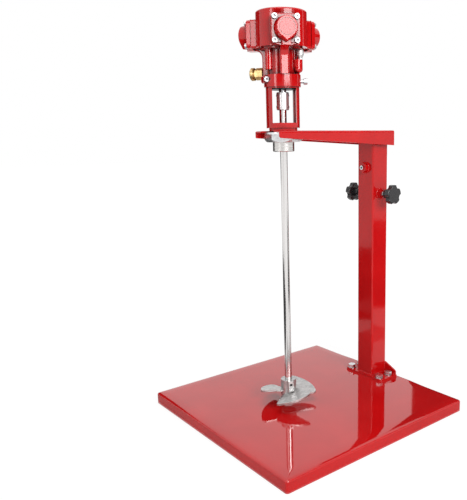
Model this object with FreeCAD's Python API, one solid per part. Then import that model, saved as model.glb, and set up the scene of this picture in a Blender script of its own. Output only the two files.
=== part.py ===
import FreeCAD, Part
import math
import os

# Pneumatic paint mixer on its stand, in millimetres.
# Origin at the middle of the base plate's underside, +Z up, +X towards the mast.
# The mixing rod stands on the other side of the middle, parallel to the mast.

# Base plate: a pan folded from sheet steel, open below
base_size = 400.0
base_height = 21.0
base_sheet = 2.0
base_edge_radius = 3.0
base_corner_radius = 5.0

# Mast: a square tube that holds a sliding square tube
mast_inset = 26.0
mast_width = 40.0
mast_wall = 2.0
slide_tube_wall = 2.0
slide_clearance = 0.3
slide_tube_length = 395.0
tube_corner_radius = 3.0

# Mast foot: a flange with two gussets, bolted to the base plate
foot_thickness = 4.0
foot_length = 100.0
foot_front_reach = 6.0
foot_corner_radius = 9.0
gusset_thickness = 3.0
gusset_height = 20.0
gusset_end_height = 9.0
gusset_end_inset = 1.5
gusset_corner = 3.0
foot_bolt_front = 2.0
foot_bolt_spacing = 25.0
foot_bolt_side = 38.0
bolt_radius = 4.0
bolt_hole_clearance = 0.3
bolt_head_flats = 13.0
bolt_head_height = 5.3
washer_radius = 8.0
washer_thickness = 1.6
bolt_nut_height = 6.5
bolt_end_reach = 2.5

# Clamp knobs and set screw of the mast
knob_drop = 115.0
set_screw_drop = 65.5
stud_radius = 4.0
running_gap = 0.05
body_gap = 0.3
weld_nut_flats = 17.0
weld_nut_height = 8.0
knob_radius = 18.0
knob_scallop_radius = 7.0
knob_scallop_place = 21.5
knob_lobes = 5
knob_thickness = 11.0
knob_hub_radius = 8.0
knob_hub_length = 12.0
knob_stand_off = 6.0
knob_edge_radius = 2.0
stud_grip = 16.0
set_screw_reach = 2.5
set_screw_socket_depth = 3.0

# Arm: a channel with its web on top, tapering to a fork
arm_top = 501.5
arm_width = 70.0
arm_sheet = 2.5
arm_bend_radius = 3.5
arm_rear_overhang = 1.0
arm_tip_reach = 34.0
arm_rear_depth = 27.5
arm_tip_depth = 11.5
arm_tip_radius = 4.5
arm_plan_radius = 4.0

# Rod line and the threaded neck that hangs the mixer in the fork
arm_reach = 213.0
rod_radius = 6.0
rod_in_coupling = 14.0
rod_in_hub = 17.0
rod_chamfer = 0.8
neck_radius = 17.9
neck_end_reach = 15.5
neck_chamfer = 1.0
neck_spigot_radius = 13.0
neck_spigot_depth = 7.0
neck_slot_clearance = 0.5
bush_outer_radius = 9.0
bush_length = 15.0
bush_recess = 3.5
nut_corner_gap = 0.75
nut_height = 13.0
nut_chamfer = 2.0
nut_washer_gap = 1.5
nut_washer_thickness = 3.0
seat_disc_radius = 23.5
seat_disc_thickness = 4.5

# Yoke between the arm and the motor, and its clamp ring
yoke_radius = 27.8
yoke_height = 84.3
yoke_floor = 8.0
yoke_window_half_width = 19.5
yoke_window_drop = 2.3
yoke_bore_radius = 24.0
ring_radius = 30.3
ring_height = 19.0
ring_gap = 1.6
ring_angle = -70.0
ring_ear_reach = 36.3
ring_ear_thickness = 4.2
ring_ear_height = 12.0
ring_screw_radius = 2.5
ring_screw_head_radius = 4.4
ring_screw_head_height = 4.0
ring_screw_line = 32.0
ring_screw_head_gap = 0.3
ring_screw_drop = 7.5
lock_screw_radius = 3.0
lock_screw_head_radius = 5.2
lock_screw_head_length = 6.0
lock_screw_neck_length = 5.0

# Motor: a three-cylinder radial air motor
motor_angle = 240.0
cylinder_count = 3
case_radius = 41.6
case_height = 55.9
shaft_case_gap = 1.0
case_edge_radius = 3.0
barrel_width = 44.0
barrel_edge_radius = 3.0
barrel_end = 44.1
gasket_thickness = 0.8
crank_cavity_radius = 20.0
case_floor = 7.0
cap_thickness = 13.9
cap_chamfer = 0.6

# Cylinder covers
cover_side_overhang = 1.0
cover_thickness = 8.0
cover_corner_radius = 6.0
cover_edge_radius = 1.5
cover_boss_base_radius = 19.0
cover_boss_face_radius = 16.2
cover_boss_height = 17.0
cover_boss_rim = 1.2
cover_tip_drop = 16.3
cover_tip_radius = 3.4
cover_tip_spread = 1.5
cover_ring_inset = 3.2
cover_ring_width = 1.4
cover_ring_depth = 0.6
cover_duct_half_width = 7.5
cover_foot_drop = 2.7
cover_foot_half_width = 8.0
cover_foot_flare = 9.0
cover_screw_inset = 4.5
cover_screw_seat_depth = 1.0
cover_screw_radius = 2.5
cover_screw_length = 14.0
cap_head_radius = 4.25
cap_head_height = 4.6
cap_socket_flats = 4.0
cap_socket_depth = 2.4
cap_head_clearance = 0.35

# Liners, pistons and their seals
liner_wall = 3.0
piston_radius = 13.95
piston_bore_gap = 0.05
piston_foot_gap = 0.5
piston_stem_length = 4.5
piston_length = 10.0
piston_stem_radius = 4.0
piston_foot_radius = 8.0
piston_foot_thickness = 2.0
seal_groove_depth = 2.0
seal_width = 2.0
seal_place = 5.0

# Crankshaft, its bearings and the rotary valve
crank_throw = 5.0
crank_angle = 45.0
eccentric_radius = 11.0
eccentric_height = 16.0
crank_ring_wall = 1.0
crank_ring_end_gap = 0.5
crank_web_radius = 14.0
crank_web_thickness = 5.0
top_journal_radius = 4.0
top_bearing_radius = 11.0
top_bearing_width = 7.0
low_bearing_radius = 14.0
low_bearing_width = 8.0
bearing_race_wall = 2.0
race_groove_depth = 0.4
ball_count = 8
valve_sleeve_radius = 11.0
valve_sleeve_length = 30.0
valve_sleeve_top_gap = 3.0
valve_port_radius = 2.0

# Neck casting below the crankcase
housing_height = 42.7
housing_core_radius = 24.0
housing_flange_radius = 34.5
housing_flange_thickness = 3.0
housing_rib_reach = 32.7
housing_rib_half_width = 7.0
housing_rib_turn_radius = 11.8
housing_rib_edge_radius = 2.5
housing_lobe_line = 26.0
housing_lobe_radius = 6.2
housing_lobe_rise = 7.7
port_radius = 8.0
port_line = 27.5
port_neck_radius = 6.0
port_rise = 2.7
port_height = 20.3
silencer_offset = 4.5
silencer_radius = 5.6
silencer_length = 15.5
silencer_stem_radius = 3.2
silencer_stem_length = 2.5
silencer_cone_length = 5.0
silencer_gap = 0.7
silencer_thread_radius = 2.8
silencer_thread_length = 5.0
housing_screw_radius = 2.5
housing_screw_grip = 7.6
housing_head_clearance = 0.2
housing_screw_recess = 5.0
end_plate_thickness = 3.5
end_plate_gap = 0.2
shaft_hole_gap = 0.5
seal_height = 5.0

# Brass air valve on the left rib of the neck, its lever on the rear side
air_rise = 4.0
air_thread_radius = 3.8
air_thread_length = 7.0
air_hex_flats = 17.0
air_hex_length = 13.0
air_socket_depth = 1.5
air_groove_radius = 7.0
air_groove_length = 3.0
air_collar_radius = 10.3
air_collar_length = 6.0
air_collar_edge = 0.8
air_bore_radius = 5.72
air_bore_depth = 10.0
air_ball_radius = 5.0
air_ball_place = 6.0
air_way_radius = 2.5
air_stem_radius = 2.2
air_lever_gap = 2.0
air_lever_tail = 3.0
air_lever_reach = 10.5
air_lever_width = 5.0
air_lever_thickness = 4.0

# Coupling on the rod's top end
coupling_radius = 10.2
coupling_gap = 4.3
coupling_height = 28.5
coupling_shaft_gap = 1.0
coupling_chamfer = 0.8
grub_radius = 2.0
grub_proud = 0.4
grub_inset = 5.0

# Propeller
propeller_radius = 50.0
propeller_blades = 3
hub_radius = 13.5
hub_lift = 13.0
hub_length = 32.0
hub_foot_radius = 3.0
blade_thickness = 3.0
blade_rise = 9.0
blade_root_width = 24.0
blade_root_angle = 20.0
blade_tip_angle = 10.5
blade_spread_angle = 38.0
blade_corner_radius = 7.0
blade_angle = 245.0
boss_width = 10.5
boss_reach = 17.5
boss_rise = 10.0
boss_angle = 248.0
boss_edge_radius = 1.5
propeller_screw_radius = 2.5
propeller_screw_drop = 6.0
propeller_screw_inset = 1.0

# Levels and places that follow from the sizes above
mast_x = base_size / 2 - mast_inset
mast_face = mast_width / 2
rod_x = mast_x - arm_reach
foot_top = base_height + foot_thickness
web_bottom = arm_top - arm_sheet
arm_rear = mast_x + mast_face + arm_rear_overhang
arm_tip = rod_x - arm_tip_reach
slide_width = mast_width - 2 * mast_wall - 2 * slide_clearance
knob_height = web_bottom - knob_drop
set_screw_height = web_bottom - set_screw_drop
weld_nut_end = mast_face + weld_nut_height
knob_hub_start = weld_nut_end + knob_stand_off
knob_face = knob_hub_start + knob_hub_length + knob_thickness
nut_flats = math.sqrt(3) * (arm_width / 2 - arm_sheet - nut_corner_gap)
nut_washer_radius = arm_width / 2 - arm_sheet - nut_washer_gap
neck_bottom = web_bottom - nut_washer_thickness - nut_height - neck_end_reach
yoke_bottom = arm_top + seat_disc_thickness
yoke_top = yoke_bottom + yoke_height
ring_bottom = yoke_top - ring_height
end_plate_bottom = ring_bottom - end_plate_thickness
case_bottom = yoke_top + housing_height
case_top = case_bottom + case_height
cylinder_z = case_bottom + barrel_width / 2
cylinder_step = 360.0 / cylinder_count
crank_cavity_bottom = case_bottom + case_floor
cap_bottom = case_top - cap_thickness
low_bearing_bottom = case_bottom - low_bearing_width
barrel_face = barrel_end + gasket_thickness
cover_face = barrel_face + cover_thickness
cover_width = barrel_width + 2 * cover_side_overhang
cover_foot_bottom = case_bottom - cover_foot_drop
cover_screw_place = barrel_width / 2 - cover_screw_inset
liner_start = crank_cavity_radius
liner_radius = piston_radius + piston_bore_gap
liner_outer = liner_radius + liner_wall
piston_foot_start = crank_throw + eccentric_radius + crank_ring_wall + piston_foot_gap
piston_start = piston_foot_start + piston_stem_length
valve_port_height = low_bearing_bottom - valve_sleeve_top_gap - valve_sleeve_length / 2
housing_lobe_bottom = yoke_top + housing_lobe_rise
housing_screw_seat = housing_lobe_bottom + housing_screw_recess
housing_screw_length = case_bottom + housing_screw_grip - housing_screw_seat
port_bottom = yoke_top + port_rise
port_ledge_height = port_bottom + port_height
silencer_line = port_line + silencer_offset
port_neck_line = silencer_line - silencer_radius - silencer_gap - port_neck_radius
port_angle = cylinder_step / 2
air_turn = -cylinder_step
air_angle = motor_angle + air_turn
air_root = housing_rib_reach
air_height = yoke_top + air_rise
coupling_top = end_plate_bottom - coupling_gap
coupling_bottom = coupling_top - coupling_height
rod_top = coupling_bottom + rod_in_coupling
shaft_bottom = rod_top + coupling_shaft_gap
hub_bottom = base_height + hub_lift
hub_top = hub_bottom + hub_length
rod_bottom = hub_top - rod_in_hub
blade_height = hub_bottom + blade_rise
boss_bottom = hub_bottom + boss_rise

UP = FreeCAD.Vector(0, 0, 1)
ROD = FreeCAD.Vector(rod_x, 0, 0)


def point(x, y, z):
    return FreeCAD.Vector(x, y, z)


def upright(radius, low, high, x=0.0, y=0.0):
    return Part.makeCylinder(radius, high - low, point(x, y, low))


def tube(outer, inner, low, high, x=0.0, y=0.0):
    return upright(outer, low, high, x, y).cut(upright(inner, low - 1, high + 1, x, y))


def block(x_low, x_high, y_low, y_high, z_low, z_high):
    return Part.makeBox(x_high - x_low, y_high - y_low, z_high - z_low, point(x_low, y_low, z_low))


def lying(radius, start, end, z, y=0.0):
    # A round bar along +X from start to end.
    return Part.makeCylinder(radius, end - start, point(start, y, z), point(1, 0, 0))


def along_y(radius, start, end, x, z):
    return Part.makeCylinder(radius, end - start, point(x, start, z), point(0, 1, 0))


def hexagon(flats, height):
    # A hexagonal prism standing on the XY plane.
    reach = flats / math.sqrt(3)
    corners = [point(reach * math.cos(math.radians(60 * k)), reach * math.sin(math.radians(60 * k)), 0)
               for k in range(7)]
    return Part.Face(Part.makePolygon(corners)).extrude(point(0, 0, height))


def moved(shape, x, y, z):
    return shape.translated(point(x, y, z))


def spun(shape, angle, centre=None, axis=None):
    copy = shape.copy()
    copy.rotate(centre or point(0, 0, 0), axis or UP, angle)
    return copy


def at_rod(shape, angle=0.0):
    # A shape modelled round the Z axis, turned and set on the rod's line.
    return moved(spun(shape, angle), rod_x, 0, 0)


def rounded_block(x_low, x_high, y_low, y_high, z_low, z_high, radius):
    # A box with its upright edges rounded.
    body = block(x_low, x_high, y_low, y_high, z_low, z_high)
    edges = [e for e in body.Edges if abs(e.Vertexes[0].Z - e.Vertexes[1].Z) > 0.001]
    return body.makeFillet(radius, edges)


def edges_at_height(shape, z):
    return [e for e in shape.Edges if all(abs(v.Z - z) < 0.001 for v in e.Vertexes)
            and abs(e.BoundBox.ZMax - z) < 0.01 and abs(e.BoundBox.ZMin - z) < 0.01]


def profile(points, thickness, normal):
    return Part.Face(Part.makePolygon(points + [points[0]])).extrude(normal * thickness)


def cap_screw(shank_radius, head_radius, head_height, length, socket_flats, socket_depth):
    # A socket cap screw pointing down from z = 0, its head above.
    head = upright(head_radius, 0, head_height)
    head = head.makeChamfer(0.4, edges_at_height(head, head_height))
    head = head.cut(moved(hexagon(socket_flats, socket_depth + 1), 0, 0, head_height - socket_depth))
    return head.fuse(upright(shank_radius, -length, 0)).removeSplitter()


def joined(shapes):
    body = shapes[0]
    for shape in shapes[1:]:
        body = body.fuse(shape)
    return body.removeSplitter()


def around(shape, count):
    return [spun(shape, k * 360.0 / count) for k in range(count)]


def save(name, shapes):
    solids = shapes if isinstance(shapes, list) else [shapes]
    shape = solids[0] if len(solids) == 1 else Part.makeCompound(solids)
    shape.exportStep("parts/" + name + ".step")


# Stand

def foot_bolt_places():
    front = mast_x - mast_face + foot_bolt_front
    return [(front + i * foot_bolt_spacing, side * foot_bolt_side) for i in (0, 1) for side in (-1, 1)]


def foot_holes(low, high):
    radius = bolt_radius + bolt_hole_clearance
    return [upright(radius, low, high, x, y) for x, y in foot_bolt_places()]


def base_plate():
    half = base_size / 2
    pan = rounded_block(-half, half, -half, half, 0, base_height, base_corner_radius)
    pan = pan.makeFillet(base_edge_radius, edges_at_height(pan, base_height))
    inner = half - base_sheet
    inner_radius = base_corner_radius - base_sheet
    hollow = rounded_block(-inner, inner, -inner, inner, -1, base_height - base_sheet, inner_radius)
    pan = pan.cut(hollow)
    for hole in foot_holes(-1, base_height + 1):
        pan = pan.cut(hole)
    return pan


def mast_foot():
    front = mast_x - mast_face - foot_front_reach
    rear = mast_x + mast_face
    half = foot_length / 2
    plate = block(front, rear, -half, half, base_height, foot_top)
    corners = [e for e in plate.Edges if e.BoundBox.ZLength > foot_thickness / 2
               and abs(e.BoundBox.XMax - front) < 0.01]
    plate = plate.makeFillet(foot_corner_radius, corners)
    for hole in foot_holes(base_height - 1, foot_top + 1):
        plate = plate.cut(hole)
    return plate


def mast_gussets():
    rear = mast_x + mast_face
    end = foot_length / 2 - gusset_end_inset
    gussets = []
    for side in (-1, 1):
        outline = [point(rear - gusset_thickness, side * mast_face, foot_top),
                   point(rear - gusset_thickness, side * mast_face, foot_top + gusset_height),
                   point(rear - gusset_thickness, side * (end - gusset_corner), foot_top + gusset_end_height),
                   point(rear - gusset_thickness, side * end, foot_top + gusset_end_height - gusset_corner),
                   point(rear - gusset_thickness, side * end, foot_top)]
        gussets.append(profile(outline, gusset_thickness, point(1, 0, 0)))
    return gussets


def square_tube(width, wall, low, high):
    half = width / 2
    outer = rounded_block(-half, half, -half, half, low, high, tube_corner_radius)
    inner = half - wall
    hollow = rounded_block(-inner, inner, -inner, inner, low - 1, high + 1, tube_corner_radius - wall)
    return moved(outer.cut(hollow), mast_x, 0, 0)


def mast_tube():
    body = square_tube(mast_width, mast_wall, foot_top, web_bottom - body_gap)
    hole = stud_radius + body_gap
    body = body.cut(along_y(hole, -mast_width, mast_width, mast_x, knob_height))
    return body.cut(lying(hole, mast_x - mast_width, mast_x, set_screw_height))


def weld_nut():
    # The nut's seat is at z = 0 and it stands away from the tube's face.
    body = hexagon(weld_nut_flats, weld_nut_height)
    return body.cut(upright(stud_radius + running_gap, -1, weld_nut_height + 1))


def weld_nuts():
    side_nut = spun(weld_nut(), 90)
    right = moved(spun(side_nut, 90, axis=point(1, 0, 0)), mast_x, -mast_face, knob_height)
    left = moved(spun(side_nut, -90, axis=point(1, 0, 0)), mast_x, mast_face, knob_height)
    front = moved(spun(weld_nut(), -90, axis=point(0, 1, 0)), mast_x - mast_face, 0, set_screw_height)
    return [right, left, front]


def mast_set_screw():
    start = mast_x - mast_face - weld_nut_height - set_screw_reach
    end = mast_x - slide_width / 2 - body_gap
    screw = lying(stud_radius, start, end, set_screw_height)
    socket = spun(hexagon(cap_socket_flats, set_screw_socket_depth + 1), 90, axis=point(0, 1, 0))
    return screw.cut(moved(socket, start - 1, 0, set_screw_height))


def foot_bolts():
    head_low = foot_top + washer_thickness
    end = base_height - base_sheet - bolt_nut_height - bolt_end_reach
    bolts = []
    for x, y in foot_bolt_places():
        head = moved(hexagon(bolt_head_flats, bolt_head_height), x, y, head_low)
        bolts.append(joined([head, upright(bolt_radius, end, head_low, x, y)]))
    return bolts


def foot_washers():
    inner = bolt_radius + bolt_hole_clearance
    return [tube(washer_radius, inner, foot_top, foot_top + washer_thickness, x, y)
            for x, y in foot_bolt_places()]


def foot_nuts():
    top = base_height - base_sheet
    nuts = []
    for x, y in foot_bolt_places():
        nut = moved(hexagon(bolt_head_flats, bolt_nut_height), x, y, top - bolt_nut_height)
        nuts.append(nut.cut(upright(bolt_radius, 0, top + 1, x, y)))
    return nuts


# Clamp knobs, modelled pointing along +Y and mirrored for the other side

def knob_grip():
    star = along_y(knob_radius, knob_hub_start + knob_hub_length, knob_face, mast_x, knob_height)
    for k in range(knob_lobes):
        angle = math.radians(90 + (k + 0.5) * 360.0 / knob_lobes)
        x = mast_x + knob_scallop_place * math.cos(angle)
        z = knob_height + knob_scallop_place * math.sin(angle)
        star = star.cut(along_y(knob_scallop_radius, 0, 2 * knob_face, x, z))
    rims = [e for e in star.Edges if abs(e.BoundBox.YMin - e.BoundBox.YMax) < 0.01]
    star = star.makeFillet(knob_edge_radius, rims)
    hub = along_y(knob_hub_radius, knob_hub_start, knob_hub_start + knob_hub_length + 1,
                  mast_x, knob_height)
    grip = joined([star, hub])
    end = knob_hub_start + stud_grip
    return grip.cut(along_y(stud_radius, 0, end, mast_x, knob_height))


def knob_stud():
    start = slide_width / 2 + body_gap
    end = knob_hub_start + stud_grip
    return along_y(stud_radius, start, end, mast_x, knob_height)


def to_right(shape):
    return shape.mirror(point(0, 0, 0), point(0, 1, 0))


# Carriage: sliding tube, arm, neck and yoke

def slide_tube():
    return square_tube(slide_width, slide_tube_wall, web_bottom - slide_tube_length, web_bottom)


def arm_channel():
    half = arm_width / 2
    depth = max(arm_rear_depth, arm_tip_depth)
    outer = block(arm_tip, arm_rear, -half, half, arm_top - depth, arm_top)
    long_edges = [e for e in edges_at_height(outer, arm_top) if e.BoundBox.XLength > arm_width]
    outer = outer.makeFillet(arm_bend_radius, long_edges)
    inner = half - arm_sheet
    hollow = block(arm_tip - 1, arm_rear + 1, -inner, inner, arm_top - depth - 1, web_bottom)
    top_edges = [e for e in edges_at_height(hollow, web_bottom) if e.BoundBox.XLength > arm_width]
    channel = outer.cut(hollow.makeFillet(arm_bend_radius - arm_sheet, top_edges))
    side = side_outline(half)
    plan = arm_plan(half)
    slot_half = neck_radius + neck_slot_clearance
    slot = joined([block(arm_tip - 1, rod_x, -slot_half, slot_half, arm_top - depth - 1, arm_top + 1),
                   upright(slot_half, arm_top - depth - 1, arm_top + 1, rod_x)])
    return channel.common(side).common(plan).cut(slot).removeSplitter()


def side_outline(half):
    # The tapering side view of the arm, with a rounded tip, across its whole width.
    low_rear = arm_top - arm_rear_depth
    low_tip = arm_top - arm_tip_depth
    outline = [point(arm_tip, -half - 1, low_tip), point(arm_rear, -half - 1, low_rear),
               point(arm_rear, -half - 1, arm_top), point(arm_tip, -half - 1, arm_top)]
    body = profile(outline, arm_width + 2, point(0, 1, 0))
    tips = [e for e in body.Edges if e.BoundBox.YLength > arm_width
            and abs(e.BoundBox.XMax - arm_tip) < 0.01]
    return body.makeFillet(arm_tip_radius, tips)


def arm_plan(half):
    body = block(arm_tip, arm_rear, -half, half, arm_top - 2 * arm_rear_depth, arm_top + 1)
    corners = [e for e in body.Edges if e.BoundBox.ZLength > arm_rear_depth
               and abs(e.BoundBox.XMax - arm_tip) < 0.01]
    return body.makeFillet(arm_plan_radius, corners)


def neck_sleeve():
    body = joined([upright(neck_radius, neck_bottom, yoke_bottom),
                   upright(neck_spigot_radius, neck_bottom, yoke_bottom + neck_spigot_depth)])
    rim = [e for e in edges_at_height(body, neck_bottom)]
    body = body.makeChamfer(neck_chamfer, rim)
    return at_rod(body.cut(upright(bush_outer_radius, 0, 2 * arm_top)))


def neck_bushes():
    inner = rod_radius + running_gap
    low = neck_bottom + bush_recess
    high = yoke_bottom + neck_spigot_depth
    return [at_rod(tube(bush_outer_radius, inner, low, low + bush_length)),
            at_rod(tube(bush_outer_radius, inner, high - bush_length, high))]


def nut_washer():
    return at_rod(tube(nut_washer_radius, neck_radius, web_bottom - nut_washer_thickness, web_bottom))


def neck_nut():
    top = web_bottom - nut_washer_thickness
    body = moved(hexagon(nut_flats, nut_height), 0, 0, top - nut_height)
    rim = nut_flats / 2 + nut_chamfer
    cone = Part.makeCone(rim - nut_chamfer, rim + nut_height, nut_height + nut_chamfer,
                         point(0, 0, top - nut_height))
    return at_rod(body.common(cone).cut(upright(neck_radius, 0, 2 * arm_top)), 15)


def seat_disc():
    return at_rod(tube(seat_disc_radius, neck_radius, arm_top, yoke_bottom))


def yoke():
    body = upright(yoke_radius, yoke_bottom, yoke_top)
    body = body.cut(upright(yoke_bore_radius, yoke_bottom + yoke_floor, yoke_top + 1))
    low = yoke_bottom + yoke_floor
    window = block(-2 * yoke_radius, 2 * yoke_radius, -yoke_window_half_width, yoke_window_half_width,
                   low, ring_bottom - yoke_window_drop)
    body = body.cut(window)
    slit = block(0, 2 * yoke_radius, -ring_gap / 2, ring_gap / 2, ring_bottom, yoke_top + 1)
    body = body.cut(spun(slit, ring_angle))
    body = body.cut(upright(neck_spigot_radius, yoke_bottom - 1, yoke_bottom + neck_spigot_depth))
    body = body.cut(upright(bush_outer_radius, yoke_bottom - 1, low + 1))
    hole = lying(lock_screw_radius, 0, 2 * yoke_radius, (ring_bottom + yoke_top) / 2)
    return at_rod(body.cut(spun(hole, 90)), motor_angle)


def clamp_ring():
    # The ears and the split lie on +X and are turned to the ring's left side.
    ring = tube(ring_radius, yoke_radius, ring_bottom, yoke_top)
    screw_z = ring_bottom + ring_height - ring_screw_drop
    half_ear = ring_ear_height / 2
    ear = block(yoke_radius, ring_ear_reach, -ring_ear_thickness, ring_ear_thickness,
                screw_z - half_ear, screw_z + half_ear)
    tips = [e for e in ear.Edges if e.BoundBox.YLength > ring_ear_thickness
            and abs(e.BoundBox.XMax - ring_ear_reach) < 0.01]
    ear = ear.makeFillet(ring_ear_height / 4, tips)
    body = joined([ring, ear]).cut(upright(yoke_radius, 0, 2 * yoke_top))
    body = body.cut(block(0, 2 * ring_radius, -ring_gap / 2, ring_gap / 2, ring_bottom - 1, yoke_top + 1))
    body = body.cut(along_y(ring_screw_radius, -ring_radius, ring_radius, ring_screw_line, screw_z))
    spot_face = ring_screw_head_radius + ring_screw_head_gap
    body = body.cut(along_y(spot_face, ring_ear_thickness, ring_radius, ring_screw_line, screw_z))
    body = spun(body, ring_angle)
    hole = spun(lying(lock_screw_radius, 0, 2 * ring_radius, (ring_bottom + yoke_top) / 2), 90)
    return at_rod(body.cut(hole), motor_angle)


def clamp_ring_screw():
    screw_z = ring_bottom + ring_height - ring_screw_drop
    screw = cap_screw(ring_screw_radius, ring_screw_head_radius, ring_screw_head_height,
                      2 * ring_ear_thickness, cap_socket_flats, cap_socket_depth)
    screw = spun(screw, -90, axis=point(1, 0, 0))
    screw = moved(screw, ring_screw_line, ring_ear_thickness, screw_z)
    return at_rod(spun(screw, ring_angle), motor_angle)


def ring_lock_screw():
    z = (ring_bottom + yoke_top) / 2
    neck_end = ring_radius + lock_screw_neck_length
    screw = joined([lying(lock_screw_radius, yoke_bore_radius, neck_end, z),
                    lying(lock_screw_head_radius, neck_end, neck_end + lock_screw_head_length, z)])
    return at_rod(spun(screw, 90), motor_angle)


# Motor body

def barrel_block():
    half = barrel_width / 2
    body = block(0, barrel_end, -half, half, cylinder_z - half, cylinder_z + half)
    edges = [e for e in body.Edges if e.BoundBox.XLength > half]
    return body.makeFillet(barrel_edge_radius, edges)


def cover_screw_places():
    return [(y, cylinder_z + z) for y in (-cover_screw_place, cover_screw_place)
            for z in (-cover_screw_place, cover_screw_place)]


def crankcase():
    body = upright(case_radius, case_bottom, case_top)
    body = body.makeFillet(case_edge_radius, edges_at_height(body, case_top))
    body = joined([body] + around(barrel_block(), cylinder_count))
    body = body.cut(upright(crank_cavity_radius, crank_cavity_bottom, case_top + 1))
    body = body.cut(upright(rod_radius + shaft_case_gap, case_bottom - 1, crank_cavity_bottom + 1))
    tools = [lying(liner_outer, 0, 2 * barrel_end, cylinder_z)]
    screw_end = cover_face - cover_screw_length
    tools += [lying(cover_screw_radius, screw_end, 2 * barrel_end, z, y) for y, z in cover_screw_places()]
    for tool in tools:
        for copy in around(tool, cylinder_count):
            body = body.cut(copy)
    for angle in housing_screw_turns():
        body = body.cut(spun(housing_screw_hole(), angle))
    return at_rod(body, motor_angle)


def crankcase_cap():
    body = upright(crank_cavity_radius, cap_bottom, case_top)
    body = body.makeChamfer(cap_chamfer, edges_at_height(body, case_top))
    pocket = upright(top_bearing_radius, cap_bottom - 1, cap_bottom + top_bearing_width)
    return at_rod(body.cut(pocket))


def cylinder_liner():
    outer = lying(liner_outer, liner_start, barrel_end, cylinder_z)
    return outer.cut(lying(liner_radius, 0, 2 * barrel_end, cylinder_z))


def cover_gasket():
    half = barrel_width / 2
    body = block(barrel_end, barrel_face, -half, half, cylinder_z - half, cylinder_z + half)
    body = body.cut(lying(liner_radius, 0, 2 * barrel_end, cylinder_z))
    for y, z in cover_screw_places():
        body = body.cut(lying(cover_screw_radius, 0, 2 * barrel_end, z, y))
    return body


def cylinder_cover():
    half = cover_width / 2
    tall = barrel_width / 2
    plate = block(barrel_face, cover_face, -half, half, cylinder_z - tall, cylinder_z + tall)
    corners = [e for e in plate.Edges if e.BoundBox.XLength > cover_thickness / 2]
    plate = plate.makeFillet(cover_corner_radius, corners)
    rim = [e for e in plate.Edges if abs(e.BoundBox.XMin - cover_face) < 0.01]
    plate = plate.makeFillet(cover_edge_radius, rim)
    face = cover_face + cover_boss_height
    boss = cone_along_x(cover_boss_base_radius, cover_boss_face_radius, cylinder_z)
    tip_z = cylinder_z - cover_tip_drop
    tip = cone_along_x(cover_tip_radius + cover_tip_spread, cover_tip_radius, tip_z)
    head = joined([boss, tip, cover_tip_web(face, tip_z)])
    head = head.makeChamfer(cover_boss_rim, [e for e in head.Edges if e.BoundBox.XMin > face - 0.01])
    duct = block(barrel_face, cover_face + cover_boss_height / 3, -cover_duct_half_width,
                 cover_duct_half_width, cover_foot_bottom, cylinder_z - cover_boss_base_radius / 2)
    duct_edges = [e for e in duct.Edges if e.BoundBox.ZLength > cover_boss_base_radius / 4
                  and e.BoundBox.XMin > cover_face]
    duct = duct.makeFillet(cover_edge_radius, duct_edges)
    body = joined([plate, head, duct, cover_foot()])
    groove_radius = cover_boss_face_radius - cover_ring_inset
    groove_core = lying(groove_radius - cover_ring_width, face - 1, face + 2, cylinder_z)
    body = body.cut(lying(groove_radius, face - cover_ring_depth, face + 1, cylinder_z).cut(groove_core))
    for y, z in cover_screw_places():
        body = body.cut(lying(cover_screw_radius, 0, cover_face + 1, z, y))
        spot_face = lying(cap_head_radius + cap_head_clearance, cover_face - cover_screw_seat_depth,
                          face + 5, z, y)
        body = body.cut(spot_face)
    return body


def cover_foot():
    # The plate's lower lobe, where the duct from the neck's rib enters the cover.
    low_half = cover_foot_half_width
    top_half = cover_foot_half_width + cover_foot_flare
    corners = [point(barrel_face, -top_half, case_bottom), point(barrel_face, top_half, case_bottom),
               point(barrel_face, low_half, cover_foot_bottom),
               point(barrel_face, -low_half, cover_foot_bottom)]
    return profile(corners, cover_thickness, point(1, 0, 0))


def cone_along_x(base_radius, face_radius, z):
    return Part.makeCone(base_radius, face_radius, cover_boss_height, point(cover_face, 0, z), point(1, 0, 0))


def cover_tip_web(face, tip_z):
    # The flanks that run from the round boss to its lower tip, as a tapering loft.
    def section(x, big, small):
        lean = math.asin((big - small) / (cylinder_z - tip_z))
        across, drop = math.cos(lean), math.sin(lean)
        ends = [point(x, -big * across, cylinder_z - big * drop),
                point(x, big * across, cylinder_z - big * drop),
                point(x, small * across, tip_z - small * drop),
                point(x, -small * across, tip_z - small * drop)]
        return Part.makePolygon(ends + [ends[0]])
    low = section(cover_face, cover_boss_base_radius, cover_tip_radius + cover_tip_spread)
    high = section(face, cover_boss_face_radius, cover_tip_radius)
    return Part.makeLoft([low, high], True, True)


def cover_screws():
    screw = cap_screw(cover_screw_radius, cap_head_radius, cap_head_height,
                      cover_screw_length - cover_screw_seat_depth, cap_socket_flats, cap_socket_depth)
    screw = spun(screw, 90, axis=point(0, 1, 0))
    seat = cover_face - cover_screw_seat_depth
    four = [moved(screw, seat, y, z) for y, z in cover_screw_places()]
    return [at_rod(spun(s, k * cylinder_step), motor_angle) for k in range(cylinder_count) for s in four]


# Pistons, modelled along +X

def piston():
    crown = piston_start + piston_length
    body = joined([lying(piston_radius, piston_start, crown, cylinder_z),
                   lying(piston_stem_radius, piston_foot_start, piston_start + 1, cylinder_z),
                   lying(piston_foot_radius, piston_foot_start,
                         piston_foot_start + piston_foot_thickness, cylinder_z)])
    return body.cut(piston_seal())


def piston_seal():
    start = piston_start + seal_place
    ring = lying(piston_radius, start, start + seal_width, cylinder_z)
    return ring.cut(lying(piston_radius - seal_groove_depth, start - 1, start + seal_width + 1, cylinder_z))


# Rotor

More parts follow.
